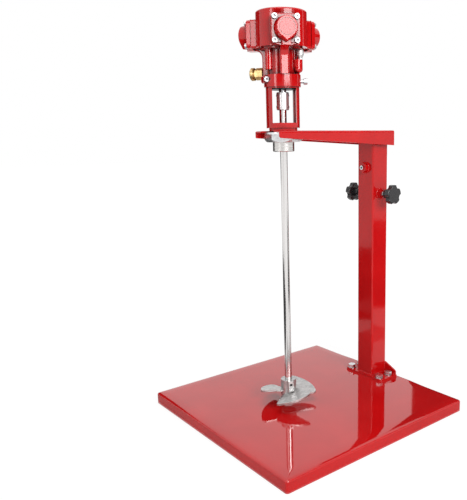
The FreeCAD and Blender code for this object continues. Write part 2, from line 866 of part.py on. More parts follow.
def crankshaft():
    half = eccentric_height / 2
    low, high = cylinder_z - half, cylinder_z + half
    eccentric = upright(eccentric_radius, low, high, crank_throw)
    low_web = upright(crank_web_radius, low - crank_web_thickness, low)
    high_web = upright(crank_web_radius, high, high + crank_web_thickness)
    body = joined([eccentric, low_web, high_web, upright(rod_radius, shaft_bottom, low),
                   upright(top_journal_radius, high, cap_bottom + top_bearing_width - body_gap)])
    tip = edges_at_height(body, shaft_bottom)
    return at_rod(body.makeChamfer(rod_chamfer, tip), motor_angle + crank_angle)


def crank_ring():
    half = eccentric_height / 2 - crank_ring_end_gap
    ring = tube(eccentric_radius + crank_ring_wall, eccentric_radius, cylinder_z - half,
                cylinder_z + half, crank_throw)
    return at_rod(ring, motor_angle + crank_angle)


def bearings():
    # The bore, the outer radius, the bottom and the width of the two ball bearings.
    return [(top_journal_radius, top_bearing_radius, cap_bottom, top_bearing_width),
            (rod_radius, low_bearing_radius, low_bearing_bottom, low_bearing_width)]


def ball_size(bore, outer):
    return (outer - bore) / 2 - bearing_race_wall + race_groove_depth


def groove(bore, outer, low, width, extra):
    centre = point(0, 0, low + width / 2)
    return Part.makeTorus((bore + outer) / 2, ball_size(bore, outer) + extra, centre)


def inner_races():
    return [at_rod(tube(bore + bearing_race_wall, bore, low, low + width - body_gap)
                   .cut(groove(bore, outer, low, width, body_gap)))
            for bore, outer, low, width in bearings()]


def outer_races():
    return [at_rod(tube(outer, outer - bearing_race_wall, low, low + width)
                   .cut(groove(bore, outer, low, width, 0)))
            for bore, outer, low, width in bearings()]


def bearing_balls():
    balls = []
    for bore, outer, low, width in bearings():
        ball = Part.makeSphere(ball_size(bore, outer), point((bore + outer) / 2, 0, low + width / 2))
        balls += [at_rod(shape) for shape in around(ball, ball_count)]
    return balls


def valve_sleeve():
    top = low_bearing_bottom - valve_sleeve_top_gap
    body = tube(valve_sleeve_radius - running_gap, rod_radius, top - valve_sleeve_length, top)
    port = lying(valve_port_radius, rod_radius + 1, 2 * valve_sleeve_radius, valve_port_height)
    for angle in (0, 180):
        body = body.cut(spun(port, angle))
    return at_rod(body, motor_angle)


def coupling():
    body = tube(coupling_radius, rod_radius, coupling_bottom, coupling_top)
    rims = [e for e in edges_at_height(body, coupling_top) + edges_at_height(body, coupling_bottom)
            if e.BoundBox.XLength > 2 * rod_radius + 1]
    body = body.makeChamfer(coupling_chamfer, rims)
    for hole in grub_screws():
        body = body.cut(hole)
    return at_rod(body, motor_angle)


def grub_screws():
    levels = (coupling_bottom + grub_inset, coupling_top - grub_inset)
    return [spun(lying(grub_radius, rod_radius, coupling_radius + grub_proud, z), turn)
            for z in levels for turn in (90, -90)]


def mixing_rod():
    body = upright(rod_radius, rod_bottom, rod_top)
    ends = edges_at_height(body, rod_bottom) + edges_at_height(body, rod_top)
    return at_rod(body.makeChamfer(rod_chamfer, ends))


def blade():
    # One blade along +X: a twisted slab cut to a fan-shaped outline with rounded corners.
    def section(x, pitch):
        lean = math.radians(pitch)
        along = point(0, math.cos(lean), math.sin(lean)) * propeller_radius
        off = point(0, -math.sin(lean), math.cos(lean)) * (blade_thickness / 2)
        middle = point(x, 0, blade_height)
        return Part.makePolygon([middle + along + off, middle - along + off, middle - along - off,
                                 middle + along - off, middle + along + off])
    slab = Part.makeLoft([section(0, blade_root_angle), section(propeller_radius, blade_tip_angle)],
                         True, True)
    spread = math.radians(blade_spread_angle)
    reach = propeller_radius / math.cos(spread) * 1.05
    root = hub_radius / 2
    half = blade_root_width / 2
    corners = [point(root, -half, 0), point(reach * math.cos(spread), -reach * math.sin(spread), 0),
               point(reach * math.cos(spread), reach * math.sin(spread), 0), point(root, half, 0)]
    plan = profile(corners, hub_top, UP)
    plan = plan.common(upright(propeller_radius, 0, hub_top))
    tips = [e for e in plan.Edges if e.BoundBox.ZLength > hub_top / 2
            and e.BoundBox.XMax ** 2 + e.BoundBox.YMax ** 2 > (0.8 * propeller_radius) ** 2]
    tips += [e for e in plan.Edges if e.BoundBox.ZLength > hub_top / 2
             and e.BoundBox.XMax ** 2 + e.BoundBox.YMin ** 2 > (0.8 * propeller_radius) ** 2
             and e.BoundBox.YMin < 0]
    tips = [e for e in tips if e.BoundBox.XLength < 0.01 and e.BoundBox.YLength < 0.01]
    return slab.common(plan.makeFillet(blade_corner_radius, tips))


def propeller():
    hub = upright(hub_radius, hub_bottom, hub_top)
    hub = hub.makeFillet(hub_foot_radius, edges_at_height(hub, hub_bottom))
    half = boss_width / 2
    boss = rounded_block(0, boss_reach, -half, half, boss_bottom, hub_top, boss_edge_radius)
    slope = profile([point(hub_radius - 2, -boss_width, boss_bottom - 1),
                     point(2 * boss_reach, -boss_width, boss_bottom - 1),
                     point(2 * boss_reach, -boss_width, boss_bottom + boss_reach)],
                    2 * boss_width, point(0, 1, 0))
    boss = spun(boss.cut(slope), boss_angle - blade_angle)
    body = joined([hub, boss] + around(blade(), propeller_blades))
    body = body.cut(upright(rod_radius, rod_bottom, hub_top + 1))
    body = body.cut(spun(propeller_hole(), boss_angle - blade_angle))
    return at_rod(body, blade_angle)


def propeller_hole():
    return lying(propeller_screw_radius, rod_radius, 2 * boss_reach, hub_top - propeller_screw_drop)


def propeller_screw():
    screw = lying(propeller_screw_radius, rod_radius, boss_reach - propeller_screw_inset,
                  hub_top - propeller_screw_drop)
    return at_rod(screw, boss_angle)


# Neck casting of the motor, modelled with its front towards +X

def housing_screw_turns():
    return [-cylinder_step / 2, cylinder_step * 3 / 2]


def housing_screw_hole():
    top = housing_screw_seat + housing_screw_length
    return upright(housing_screw_radius, housing_lobe_bottom - 1, top, housing_lobe_line)


def rib():
    # A duct that climbs the neck and turns outwards under a barrel, up to the foot of its cover.
    bend = housing_rib_turn_radius
    reach = housing_rib_reach
    flat = cover_foot_bottom
    middle = point(reach + bend * (1 - math.sqrt(0.5)), 0, flat - bend * (1 - math.sqrt(0.5)))
    corners = [point(reach + bend, 0, flat), point(barrel_face, 0, flat), point(barrel_face, 0, case_bottom),
               point(0, 0, case_bottom), point(0, 0, yoke_top), point(reach, 0, yoke_top),
               point(reach, 0, flat - bend)]
    outline = [Part.makeLine(start, stop) for start, stop in zip(corners, corners[1:])]
    outline.append(Part.Arc(corners[-1], middle, corners[0]).toShape())
    half = housing_rib_half_width
    body = Part.Face(Part.Wire(outline)).extrude(point(0, 2 * half, 0))
    body = moved(body, 0, -half, 0)
    edges = [e for e in body.Edges if e.BoundBox.YLength < 0.01 and e.BoundBox.XMin > reach - 0.01
             and e.BoundBox.ZMin < flat - 0.01 and e.BoundBox.ZLength > 0.01
             or e.BoundBox.YLength < 0.01 and e.BoundBox.ZMax < flat + 0.01
             and e.BoundBox.XMin > reach + bend - 0.01]
    return body.makeFillet(housing_rib_edge_radius, edges)


def exhaust_port():
    low = upright(port_radius, port_bottom, port_ledge_height, port_line)
    low = low.makeFillet(port_radius * 0.7, edges_at_height(low, port_bottom))
    inner = block(0, port_line, -port_radius, port_radius, port_bottom + port_radius, port_ledge_height)
    neck = joined([upright(port_neck_radius, port_ledge_height, case_bottom, port_neck_line),
                   block(0, port_neck_line, -port_neck_radius, port_neck_radius,
                         port_ledge_height, case_bottom)])
    hole = upright(silencer_thread_radius, port_ledge_height - silencer_thread_length,
                   port_ledge_height + 1, silencer_line)
    return joined([low, inner, neck]).cut(hole)


def screw_lobe():
    radius = housing_lobe_radius
    inner = block(0, housing_lobe_line, -radius, radius, housing_lobe_bottom, case_bottom)
    return joined([inner, upright(radius, housing_lobe_bottom, case_bottom, housing_lobe_line)])


def valve_housing():
    parts = [upright(housing_core_radius, yoke_top, case_bottom),
             upright(housing_flange_radius, case_bottom - housing_flange_thickness, case_bottom),
             upright(yoke_bore_radius, ring_bottom, yoke_top)]
    parts += around(rib(), cylinder_count)
    parts += [spun(screw_lobe(), angle) for angle in housing_screw_turns()]
    parts.append(spun(exhaust_port(), port_angle))
    body = joined(parts)
    body = body.cut(upright(valve_sleeve_radius, ring_bottom - 1, low_bearing_bottom - 1))
    race_opening = low_bearing_radius - bearing_race_wall
    body = body.cut(upright(race_opening, low_bearing_bottom - 2, case_bottom + 1))
    body = body.cut(upright(low_bearing_radius, low_bearing_bottom, case_bottom + 1))
    for angle in housing_screw_turns():
        recess = upright(cap_head_radius + housing_head_clearance, housing_lobe_bottom - 1,
                         housing_screw_seat, housing_lobe_line)
        body = body.cut(spun(housing_screw_hole(), angle)).cut(spun(recess, angle))
    valve_end = air_root - air_thread_length
    body = body.cut(spun(lying(air_thread_radius, valve_end, air_root + 1, air_height), air_turn))
    body = body.cut(spun(lying(air_way_radius, 0, air_root, air_height), air_turn))
    duct = lying(valve_port_radius, 0, housing_core_radius, valve_port_height)
    rise = upright(valve_port_radius, valve_port_height, case_bottom + 1, housing_core_radius)
    for tool in around(duct, cylinder_count) + around(rise, cylinder_count):
        body = body.cut(tool)
    return at_rod(body, motor_angle)


def housing_screws():
    screw = cap_screw(housing_screw_radius, cap_head_radius, cap_head_height,
                      housing_screw_length, cap_socket_flats, cap_socket_depth)
    screw = spun(screw, 180, axis=point(1, 0, 0))
    screw = moved(screw, housing_lobe_line, 0, housing_screw_seat)
    return [at_rod(spun(screw, angle), motor_angle) for angle in housing_screw_turns()]


def silencer():
    low = port_ledge_height
    cone_low = low + silencer_stem_length
    cone_top = cone_low + silencer_cone_length
    body = upright(silencer_radius, cone_top, low + silencer_length, silencer_line)
    body = body.makeFillet(silencer_radius * 0.45, edges_at_height(body, low + silencer_length))
    cone = Part.makeCone(silencer_stem_radius, silencer_radius, silencer_cone_length,
                         point(silencer_line, 0, cone_low))
    stem = upright(silencer_stem_radius, low, cone_low, silencer_line)
    thread = upright(silencer_thread_radius, low - silencer_thread_length, low, silencer_line)
    return at_rod(spun(joined([body, cone, stem, thread]), port_angle), motor_angle)


def end_plate():
    return at_rod(tube(yoke_bore_radius - end_plate_gap, rod_radius + shaft_hole_gap,
                       end_plate_bottom, ring_bottom))


def shaft_seal():
    return at_rod(tube(valve_sleeve_radius, rod_radius + running_gap, ring_bottom,
                       ring_bottom + seal_height))


# Brass air valve, modelled along +X and turned to the motor's left rib

def to_rear(shape):
    # A shape hung below the valve's ball, turned to the valve's rear side.
    return spun(shape, -90, centre=point(air_root + air_ball_place, 0, air_height), axis=point(1, 0, 0))


def air_valve_body():
    hexagonal = spun(hexagon(air_hex_flats, air_hex_length), 90, axis=point(0, 1, 0))
    body = joined([moved(hexagonal, air_root, 0, air_height),
                   lying(air_thread_radius, air_root - air_thread_length, air_root + 1, air_height)])
    end = air_root + air_hex_length
    ball = point(air_root + air_ball_place, 0, air_height)
    body = body.cut(lying(air_groove_radius, end - air_socket_depth, end + 1, air_height))
    body = body.cut(lying(air_way_radius, 0, end, air_height))
    body = body.cut(Part.makeSphere(air_ball_radius + running_gap, ball))
    body = body.cut(to_rear(upright(air_stem_radius + running_gap, 0, air_height, ball.x)))
    return at_rod(body, air_angle)


def hose_socket():
    start = air_root + air_hex_length
    collar = start + air_groove_length
    end = collar + air_collar_length
    ring = lying(air_collar_radius, collar, end, air_height)
    rims = [e for e in ring.Edges if abs(e.BoundBox.XMin - e.BoundBox.XMax) < 0.01]
    ring = ring.makeChamfer(air_collar_edge, rims)
    body = joined([lying(air_groove_radius, start - air_socket_depth, collar, air_height), ring])
    body = body.cut(lying(air_way_radius, 0, end, air_height))
    return at_rod(body.cut(lying(air_bore_radius, end - air_bore_depth, end + 1, air_height)), air_angle)


def valve_ball():
    x = air_root + air_ball_place
    lever_top = air_height - air_hex_flats / 2 - air_lever_gap
    ball = Part.makeSphere(air_ball_radius, point(x, 0, air_height))
    body = joined([ball, upright(air_stem_radius, lever_top - air_lever_thickness, air_height, x)])
    return at_rod(to_rear(body.cut(lying(air_way_radius, 0, 2 * x, air_height))), air_angle)


def valve_lever():
    x = air_root + air_ball_place
    top = air_height - air_hex_flats / 2 - air_lever_gap
    half = air_lever_width / 2
    body = rounded_block(x - air_lever_tail, x + air_lever_reach, -half, half,
                         top - air_lever_thickness, top, half * 0.9)
    return at_rod(to_rear(body.cut(upright(air_stem_radius, 0, top + 1, x))), air_angle)


def build():
    os.makedirs("parts", exist_ok=True)
    save("base_plate", base_plate())
    save("mast_foot", mast_foot())
    save("mast_gussets", mast_gussets())
    save("mast_tube", mast_tube())
    save("weld_nuts", weld_nuts())
    save("mast_set_screw", mast_set_screw())
    save("foot_bolts", foot_bolts())
    save("foot_washers", foot_washers())
    save("foot_nuts", foot_nuts())
    save("left_knob", knob_grip())
    save("left_knob_stud", knob_stud())
    save("right_knob", to_right(knob_grip()))
    save("right_knob_stud", to_right(knob_stud()))
    save("slide_tube", slide_tube())
    save("arm", arm_channel())
    save("seat_disc", seat_disc())
    save("neck_sleeve", neck_sleeve())
    save("neck_bushes", neck_bushes())
    save("neck_washer", nut_washer())
    save("neck_nut", neck_nut())
    save("yoke", yoke())
    save("clamp_ring", clamp_ring())
    save("clamp_ring_screw", clamp_ring_screw())
    save("ring_lock_screw", ring_lock_screw())
    save("end_plate", end_plate())
    save("shaft_seal", shaft_seal())
    save("valve_housing", valve_housing())
    save("housing_screws", housing_screws())
    save("silencer", silencer())
    save("crankcase", crankcase())
    save("crankcase_cap", crankcase_cap())
    save("bearing_outer_races", outer_races())
    save("bearing_balls", bearing_balls())
    save("cover_screws", cover_screws())
    turns = [motor_angle + k * cylinder_step for k in range(cylinder_count)]
    save("cylinder_liners", [at_rod(cylinder_liner(), turn) for turn in turns])
    save("cover_gaskets", [at_rod(cover_gasket(), turn) for turn in turns])
    for side, turn in zip(("front", "right", "left"), turns):
        save(side + "_cover", at_rod(cylinder_cover(), turn))
        save(side + "_piston", at_rod(piston(), turn))
        save(side + "_piston_seal", at_rod(piston_seal(), turn))
    save("air_valve_body", air_valve_body())
    save("hose_socket", hose_socket())
    save("valve_ball", valve_ball())
    save("valve_lever", valve_lever())
    save("crankshaft", crankshaft())
    save("crank_ring", crank_ring())
    save("bearing_inner_races", inner_races())
    save("valve_sleeve", valve_sleeve())
    save("coupling", coupling())
    coupling_screws = [at_rod(screw, motor_angle) for screw in grub_screws()]
    save("grub_screws", coupling_screws + [propeller_screw()])
    save("mixing_rod", mixing_rod())
    save("propeller", propeller())


build()
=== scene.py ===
import math

import bmesh
import bpy
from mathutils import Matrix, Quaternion, Vector


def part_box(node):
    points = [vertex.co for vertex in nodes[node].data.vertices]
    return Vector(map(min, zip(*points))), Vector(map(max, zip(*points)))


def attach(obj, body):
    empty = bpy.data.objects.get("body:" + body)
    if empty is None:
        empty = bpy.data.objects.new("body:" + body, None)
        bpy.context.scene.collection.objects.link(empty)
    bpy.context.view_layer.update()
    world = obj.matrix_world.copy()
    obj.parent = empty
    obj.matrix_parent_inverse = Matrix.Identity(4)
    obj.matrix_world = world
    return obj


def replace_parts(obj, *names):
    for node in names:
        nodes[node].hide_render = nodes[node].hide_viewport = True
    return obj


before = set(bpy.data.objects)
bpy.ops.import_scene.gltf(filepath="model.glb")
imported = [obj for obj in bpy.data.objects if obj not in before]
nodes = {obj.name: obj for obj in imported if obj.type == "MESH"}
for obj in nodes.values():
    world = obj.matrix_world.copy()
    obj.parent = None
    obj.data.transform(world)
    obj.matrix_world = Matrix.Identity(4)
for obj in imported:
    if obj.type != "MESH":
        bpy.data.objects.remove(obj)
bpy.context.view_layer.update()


# Base plate: a square pan folded from sheet steel, open below and sprayed with gloss red
# enamel. The sheet pulls down a little towards its folded edges.

enamel_red = (0.60, 0.006, 0.007, 1.0)
enamel_deep = (0.52, 0.004, 0.005, 1.0)
enamel_painted_shade = (0.11, 0.001, 0.002, 1.0)
tone_scale = 14.0
haze_scale = 45.0
peel_detail = 2.0
peel_depth = 0.0002
coat_roughness = 0.03
noise_low, noise_high = 0.3, 0.7
painted_shade_closed, painted_shade_clear = 0.45, 0.95


def finish_material(name):
    # A new material with its shader, and a helper that adds and sets a node.
    material = bpy.data.materials.new(name)
    material.use_nodes = True
    tree = material.node_tree
    shader = tree.nodes["Principled BSDF"]

    def add(kind, **inputs):
        node = tree.nodes.new(kind)
        for key, value in inputs.items():
            node.inputs[key.replace("_", " ")].default_value = value
        return node

    return material, tree.links.new, shader, add


def place_of(add, link, stretch=(1.0, 1.0, 1.0)):
    # The object's own coordinates, stretched where a grain runs one way.
    here = add("ShaderNodeTexCoord")
    mapping = add("ShaderNodeMapping", Scale=stretch)
    link(here.outputs["Object"], mapping.inputs["Vector"])
    return mapping.outputs["Vector"]


def cloudy(add, link, place, scale, detail=3.0):
    noise = add("ShaderNodeTexNoise", Scale=scale, Detail=detail, Roughness=0.5)
    link(place, noise.inputs["Vector"])
    return noise.outputs["Fac"]


def between(add, link, value, low, high, start=noise_low, stop=noise_high):
    # A value that runs from start to stop, spread over low to high.
    spread = add("ShaderNodeMapRange", From_Min=start, From_Max=stop, To_Min=low, To_Max=high)
    link(value, spread.inputs["Value"])
    return spread.outputs["Result"]


def two_tone(add, link, value, first, second):
    mix = add("ShaderNodeMix")
    mix.data_type = "RGBA"
    mix.inputs["A"].default_value = first
    mix.inputs["B"].default_value = second
    link(between(add, link, value, 0.0, 1.0), mix.inputs["Factor"])
    return mix.outputs["Result"]


def painted_corner_shade(add, link, colour, corner_colour, reach, closed=0.0, clear=1.0):
    # Painted shade: the corner colour where other surfaces close in within reach, in metres.
    hollow = add("ShaderNodeAmbientOcclusion", Distance=reach)
    mix = add("ShaderNodeMix")
    mix.data_type = "RGBA"
    mix.inputs["A"].default_value = corner_colour
    link(colour, mix.inputs["B"])
    openness = between(add, link, hollow.outputs["AO"], 0.0, 1.0, closed, clear)
    link(openness, mix.inputs["Factor"])
    return mix.outputs["Result"]


def raised(add, link, height, shader, strength, depth):
    bump = add("ShaderNodeBump", Strength=strength, Distance=depth)
    link(height, bump.inputs["Height"])
    link(bump.outputs["Normal"], shader.inputs["Normal"])


def enamel(name, peel_scale, peel_strength, gloss=(0.05, 0.11), bend=1.42, coat=0.0, painted_shade_reach=0.0):
    # Gloss is the range of roughness, bend the index of refraction, and the last argument
    # how far painted shade darkens the enamel out of the corners, in metres.
    material, link, shader, add = finish_material(name)
    place = place_of(add, link)
    colour = two_tone(add, link, cloudy(add, link, place, tone_scale), enamel_red, enamel_deep)
    if painted_shade_reach > 0.0:
        colour = painted_corner_shade(add, link, colour, enamel_painted_shade, painted_shade_reach,
                                   painted_shade_closed, painted_shade_clear)
    link(colour, shader.inputs["Base Color"])
    haze = cloudy(add, link, place, haze_scale)
    link(between(add, link, haze, *gloss), shader.inputs["Roughness"])
    shader.inputs["IOR"].default_value = bend
    shader.inputs["Coat Weight"].default_value = coat
    shader.inputs["Coat Roughness"].default_value = coat_roughness
    peel = cloudy(add, link, place, peel_scale, peel_detail)
    raised(add, link, peel, shader, peel_strength, peel_depth)
    return material


def dress(material, *names):
    for name in names:
        slots = nodes[name].data.materials
        slots.clear()
        slots.append(material)


def in_scene(thing):
    bpy.context.scene.collection.objects.link(thing)
    return thing


def made_piece(name, mesh, material, body):
    bmesh.ops.recalc_face_normals(mesh, faces=mesh.faces)
    data = bpy.data.meshes.new(name)
    mesh.to_mesh(data)
    mesh.free()
    for polygon in data.polygons:
        polygon.use_smooth = True
    data.materials.append(material)
    piece = in_scene(bpy.data.objects.new(name, data))
    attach(piece, body)
    return piece


def skinned(mesh, rings, round_again=False):
    # Faces between each ring of points and the next, and from the last back to the first.
    following = rings[1:] + (rings[:1] if round_again else [])
    for low, high in zip(rings, following):
        for k in range(len(low)):
            n = (k + 1) % len(low)
            mesh.faces.new((low[k], low[n], high[n], high[k]))


plate_enamel = enamel("plate_enamel", peel_scale=60.0, peel_strength=0.05, gloss=(0.03, 0.07),
                      bend=1.5, coat=0.4)
sheet = 0.002
fold_radius = 0.0032
fold_steps = 8
corner_radius = 0.005
smallest_corner = 0.0012
pull_reach = 0.021
pull_drop = 0.0010
pull_steps = 14
rim_break = 0.0003
rim_band = 0.0012
fold_band = 0.0006
inner_fold = 0.0005
inner_band = 0.003
ceiling_insets = (0.003, 0.006, 0.01, 0.015, pull_reach)
foot_side_near, foot_side_far = 0.075, 0.12
foot_rear_near, foot_rear_far = 0.06, 0.03


def eased(value, low, high):
    t = min(1.0, max(0.0, (value - low) / (high - low)))
    return t * t * (3 - 2 * t)


def square_loop(half, radius, per_side=24, per_corner=6):
    # Points round a square with rounded corners, the same number for every size.
    points = []
    straight = half - radius
    for turn in range(4):
        c, s = round(math.cos(turn * math.pi / 2)), round(math.sin(turn * math.pi / 2))
        side = [(half, -straight + 2 * straight * i / per_side) for i in range(per_side)]
        corner = [(straight + radius * math.cos(a), straight + radius * math.sin(a))
                  for a in (math.pi / 2 * i / per_corner for i in range(per_corner))]
        points += [(x * c - y * s, x * s + y * c) for x, y in side + corner]
    return points


def pulled_at(inset):
    # How far the sheet is pulled down at a distance in from its edge.
    return pull_drop * max(0.0, 1 - inset / pull_reach) ** 2


def pan_line(depth):
    # The section from the flat top over the fold, down the side, round the cut rim and back
    # up inside. Each point has its inset, its drop and the part of the drop from the pull.
    # Close pairs of points keep the flat faces flat in the shading.
    insets = [pull_reach * (1 - i / pull_steps) for i in range(pull_steps)]
    line = [(d, pulled_at(d), pulled_at(d)) for d in insets if d > fold_radius]
    for i in range(fold_steps + 1):
        a = math.pi / 2 * i / fold_steps
        line.append((fold_radius * (1 - math.sin(a)), pull_drop + fold_radius * (1 - math.cos(a)),
                     pull_drop))
    line += [(0.0, pull_drop + fold_radius + fold_band, pull_drop),
             (0.0, depth - rim_band, 0.0),
             (0.0, depth - rim_break, 0.0),
             (rim_break, depth, 0.0),
             (sheet - rim_break, depth, 0.0),
             (sheet, depth - rim_break, 0.0),
             (sheet, depth - rim_band, 0.0),
             (sheet, sheet + pull_drop + inner_band, pull_drop),
             (sheet + inner_fold, sheet + pull_drop + inner_fold, pull_drop)]
    line += [(sheet + d, sheet + pulled_at(d), pulled_at(d)) for d in ceiling_insets]
    return line


def folded_pan(low, high):
    # The sheet isn't pulled down under the mast's foot, at the middle of the rear edge.
    half, top = (high.x - low.x) / 2, high.z
    mesh = bmesh.new()
    loops = []
    for inset, drop, pull in pan_line(top - low.z):
        loop = []
        for x, y in square_loop(half - inset, max(corner_radius - inset, smallest_corner)):
            beside = 1 - eased(abs(y), foot_side_near, foot_side_far)
            held = beside * eased(x, half - foot_rear_near, half - foot_rear_far)
            loop.append(mesh.verts.new((x, y, top - drop + pull * held)))
        loops.append(loop)
    skinned(mesh, loops)
    mesh.faces.new(loops[0])
    mesh.faces.new(reversed(loops[-1]))
    return made_piece("folded_pan", mesh, plate_enamel, "stand")


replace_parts(folded_pan(*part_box("base_plate")), "base_plate")


# Mast and its foot: a square steel tube welded on a flange with two gussets at the back.
# The welds are painted over, so their ripples show under the enamel.

tube_enamel = enamel("tube_enamel", peel_scale=180.0, peel_strength=0.10)
weld_enamel = enamel("weld_enamel", peel_scale=500.0, peel_strength=0.35, gloss=(0.10, 0.2))
weld_radius = 0.0021
seam_radius = 0.0014
weld_ripple = 0.0032
ripple_share = 0.14
ripple_steps = 4
fewest_steps = 8
weld_sides = 8
weld_end_share = 0.35
weld_end_slope = 4.0


def turns(count):
    # The angles of so many equal steps round a circle.
    return [2 * math.pi * k / count for k in range(count)]


def weld_bead(name, start, end, outward, radius):
    # A fillet bead between two faces that meet along the line from start to end.
    start, end, outward = Vector(start), Vector(end), Vector(outward).normalized()
    length = (end - start).length
    across = (end - start).normalized().cross(outward)
    count = max(fewest_steps, round(length / weld_ripple * ripple_steps))
    mesh = bmesh.new()
    rings = []
    for i in range(count + 1):
        t = i / count
        wave = abs(math.sin(math.pi * t * length / weld_ripple))
        taper = min(1.0, weld_end_slope * t + weld_end_share,
                    weld_end_slope * (1 - t) + weld_end_share)
        reach = radius * taper * (1 - ripple_share + ripple_share * wave)
        centre = start.lerp(end, t)
        rings.append([mesh.verts.new(centre + reach * (math.cos(a) * outward + math.sin(a) * across))
                      for a in turns(weld_sides)])
    skinned(mesh, rings)
    mesh.faces.new(reversed(rings[0]))
    mesh.faces.new(rings[-1])
    made_piece(name, mesh, weld_enamel, "stand")


mast_low, mast_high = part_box("mast_tube")
gusset_low, gusset_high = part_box("mast_gussets")
dress(tube_enamel, "mast_tube", "mast_foot", "mast_gussets")
foot_level = mast_low.z
front_right = (mast_low.x, mast_low.y, foot_level)
rear_right = (mast_high.x, mast_low.y, foot_level)
rear_left = (mast_high.x, mast_high.y, foot_level)
front_left = (mast_low.x, mast_high.y, foot_level)
weld_bead("mast_weld_right", front_right, rear_right, (0, -1, 1), weld_radius)
weld_bead("mast_weld_left", rear_left, front_left, (0, 1, 1), weld_radius)
weld_bead("mast_weld_front", front_left, front_right, (-1, 0, 1), weld_radius)
for name, side in (("right", -1), ("left", 1)):
    corner = (gusset_low.x, side * mast_high.y, foot_level)
    outer_end = (gusset_low.x, side * gusset_high.y, foot_level)
    upper_end = (gusset_low.x, side * mast_high.y, gusset_high.z)
    weld_bead("gusset_weld_" + name, corner, outer_end, (-1, 0, 1), weld_radius)
    weld_bead("gusset_seam_" + name, corner, upper_end, (-1, side, 0), seam_radius)


# Foot bolts: zinc-plated hexagon bolts with flat washers. The plating is bright with a
# faint cloudy bloom, and shade is painted dark into the corners of the heads.

painted_socket_shade = (0.02, 0.018, 0.018, 1.0)
plating_depth = 0.0001
haze_fineness, lift_fineness = 2.0, 4.0


def plated(name, light, dark, gloss, grain=220.0, lift=0.15, socket_shade_reach=0.0):
    # The last argument is how far painted shade reaches out of the corners and sockets, in metres.
    material, link, shader, add = finish_material(name)
    place = place_of(add, link)
    colour = two_tone(add, link, cloudy(add, link, place, grain), light, dark)
    if socket_shade_reach > 0.0:
        colour = painted_corner_shade(add, link, colour, painted_socket_shade, socket_shade_reach)
    link(colour, shader.inputs["Base Color"])
    haze = cloudy(add, link, place, grain * haze_fineness)
    link(between(add, link, haze, *gloss), shader.inputs["Roughness"])
    shader.inputs["Metallic"].default_value = 1.0
    bumps = cloudy(add, link, place, grain * lift_fineness)
    raised(add, link, bumps, shader, lift, plating_depth)
    return material


zinc = plated("bright_zinc", light=(0.80, 0.81, 0.82, 1.0), dark=(0.62, 0.63, 0.65, 1.0),
              gloss=(0.18, 0.32), socket_shade_reach=0.004)
dress(zinc, "foot_bolts", "foot_washers", "foot_nuts")


# Weld nuts and set screw: three hexagon nuts welded on the mast's faces and painted with
# it, and a bright set screw in the front one. A rippled bead runs round each nut's foot.

nut_bead_line = 0.0094
nut_bead_radius = 0.0017
nut_bead_steps = 120
nut_ripple_share = 0.18
dress(tube_enamel, "weld_nuts")
dress(zinc, "mast_set_screw")


def weld_ring(name, centre, outward):
    # A bead round a nut's foot, where it stands on the tube's face.
    centre, outward, up = Vector(centre), Vector(outward), Vector((0, 0, 1))
    across = outward.cross(up)
    ripples = round(2 * math.pi * nut_bead_line / weld_ripple)
    mesh = bmesh.new()
    rings = []
    for turn in turns(nut_bead_steps):
        way = math.cos(turn) * across + math.sin(turn) * up
        wave = abs(math.sin(ripples * turn / 2))
        reach = nut_bead_radius * (1 - nut_ripple_share + nut_ripple_share * wave)
        rings.append([mesh.verts.new(centre + way * (nut_bead_line + reach * math.cos(a))
                                     + outward * (reach * math.sin(a)))
                      for a in turns(weld_sides)])
    skinned(mesh, rings, round_again=True)
    made_piece(name, mesh, weld_enamel, "stand")


def middle(low, high):
    return (low + high) / 2


screw_low, screw_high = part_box("mast_set_screw")
weld_ring("set_screw_nut_weld",
          (mast_low.x, middle(screw_low.y, screw_high.y), middle(screw_low.z, screw_high.z)),
          (-1, 0, 0))
for name, side in (("right", -1), ("left", 1)):
    low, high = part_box(name + "_knob_stud")
    weld_ring(name + "_nut_weld",
              (middle(low.x, high.x), side * mast_high.y, middle(low.z, high.z)), (0, side, 0))


# Clamp knobs: moulded black star grips on zinc-plated threaded studs, one on each side of
# the mast. The moulding has a fine satin grain with paler, duller patches.

thread_pitch = 0.00125
thread_depth = 0.0006
thread_steps = 28
rows_per_turn = 6
patch_scale = 30.0
satin_scale = 90.0
plastic_bend = 1.5
moulding_depth = 0.0002


def moulded(name, colour, worn, gloss, grain, lift):
    material, link, shader, add = finish_material(name)
    place = place_of(add, link)
    patches = cloudy(add, link, place, patch_scale)
    link(two_tone(add, link, patches, colour, worn), shader.inputs["Base Color"])
    satin = cloudy(add, link, place, satin_scale)
    link(between(add, link, satin, *gloss), shader.inputs["Roughness"])
    shader.inputs["IOR"].default_value = plastic_bend
    raised(add, link, cloudy(add, link, place, grain), shader, lift, moulding_depth)
    return material


black_moulding = moulded("black_moulding", colour=(0.012, 0.012, 0.013, 1.0),
                         worn=(0.03, 0.03, 0.032, 1.0), gloss=(0.18, 0.32), grain=900.0, lift=0.12)


def threaded_stud(name, radius, start, end, x, z, body):
    # A stud along Y whose thread runs as one ridge round a thinner core.
    length = abs(end - start)
    rows = round(length / thread_pitch * rows_per_turn)
    way = 1 if end > start else -1
    mesh = bmesh.new()
    rings = []
    for i in range(rows + 1):
        y = start + way * length * i / rows
        ring = []
        for k, angle in enumerate(turns(thread_steps)):
            phase = (i / rows_per_turn - k / thread_steps) % 1.0
            reach = radius - thread_depth * (1 - abs(2 * phase - 1))
            point = (x + reach * math.cos(angle), y, z + reach * math.sin(angle))
            ring.append(mesh.verts.new(point))
        rings.append(ring)
    skinned(mesh, rings)
    mesh.faces.new(rings[0])
    mesh.faces.new(reversed(rings[-1]))
    return made_piece(name, mesh, zinc, body)


